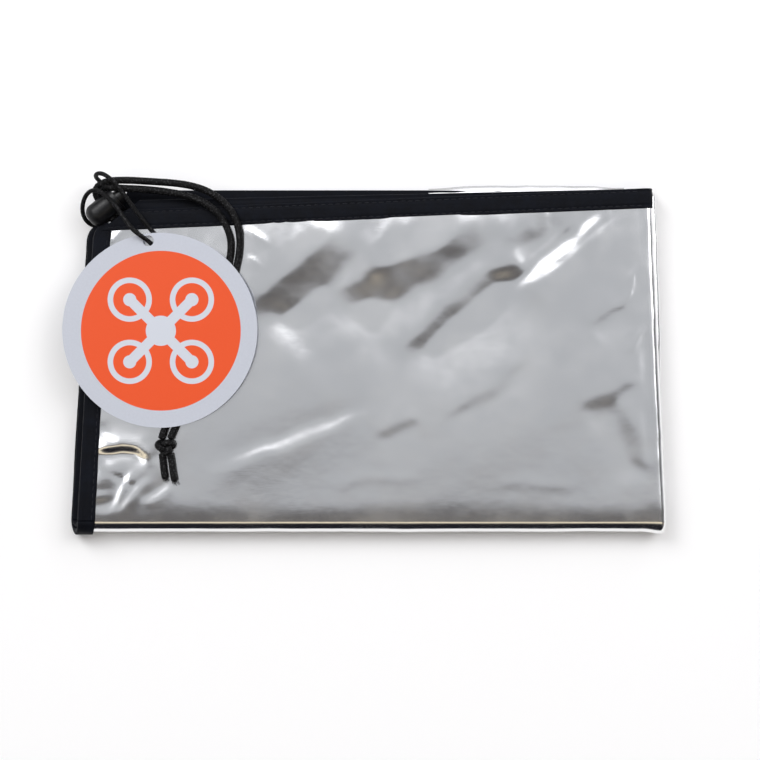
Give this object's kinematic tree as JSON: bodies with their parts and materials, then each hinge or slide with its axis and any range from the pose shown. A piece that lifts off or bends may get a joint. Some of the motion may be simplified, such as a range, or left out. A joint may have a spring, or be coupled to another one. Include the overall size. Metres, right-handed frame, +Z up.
{
  "type": "drawstring pouch",
  "caption": "Metallised film drawstring pouch folded flat in quarters, with woven hem and side bindings, a spring cord lock and a round hang tag.",
  "frame": {"origin": "centre of the folded bag's underside, on the face that rests on the table", "axes": "+X along the folded width, away from the side seam; +Y towards the hem; +Z up through the layers"},
  "size_m": [0.2415, 0.1454, 0.018],
  "materials": {
    "film": "metallised film, softly creased, near mirror",
    "tape": "blue-black woven polyester with a slight sheen",
    "thread": "black sewing thread",
    "cord": "black braided polyester cord",
    "elastic": "black covered elastic",
    "lock_plastic": "black moulded plastic, satin",
    "spring_steel": "bright drawn wire",
    "card": "coated white card, semi-gloss, printed disc"
  },
  "bodies": {
    "lower_half": {"lower_back_film": "film", "lower_front_film": "film", "side_binding_lower_outer": "tape", "side_binding_lower_inner": "tape", "bottom_seam_binding": "tape", "bottom_seam_stitching": "thread", "back_film_fold": "film", "front_film_fold": "film", "side_binding_fold": "tape"},
    "upper_half": {"upper_back_film": "film", "upper_front_film": "film", "hem_casing_back": "tape", "hem_casing_front": "tape", "casing_cord_back": "cord", "casing_cord_front": "cord", "side_binding_upper_inner": "tape", "side_binding_upper_outer": "tape", "hem_stitching": "thread", "side_stitching": "thread", "drawcord_outer": "cord", "drawcord_inner": "cord", "drawcord_knot": "cord", "cord_tail_left": "cord", "cord_tail_right": "cord", "tag_loop": "elastic", "tag_loop_knot": "elastic"},
    "cord_lock": {"cord_lock_body": "lock_plastic", "cord_lock_spring": "spring_steel"},
    "lock_plunger": {"cord_lock_plunger": "lock_plastic"},
    "hang_tag": {"tag_card": "card"}
  },
  "joints": [
    {"name": "fold_hinge", "type": "hinge", "parent": "lower_half", "child": "upper_half", "pos_m": [0, -0.065, 0.00568], "axis": [1, 0, 0], "range_deg": [0, 160], "deforming": ["back_film_fold", "front_film_fold", "side_binding_fold"]},
    {"name": "lock_slide", "type": "slide", "parent": "upper_half", "child": "cord_lock", "axis": [-0.6303, 0.7764, 0], "range_m": [0, 0.003], "deforming": ["drawcord_outer", "drawcord_inner", "tag_loop"]},
    {"name": "plunger_press", "type": "slide", "parent": "cord_lock", "child": "lock_plunger", "axis": [-0.7764, -0.6303, 0], "range_m": [0, 0.0018], "stiffness_N_per_m": 900, "springref_m": -0.003, "deforming": ["cord_lock_spring"]},
    {"name": "tag_swivel", "type": "hinge", "parent": "upper_half", "child": "hang_tag", "pos_m": [-0.0878, 0.0482, 0.01465], "axis": [0, 0, 1], "range_deg": [-25, 25]}
  ]
}
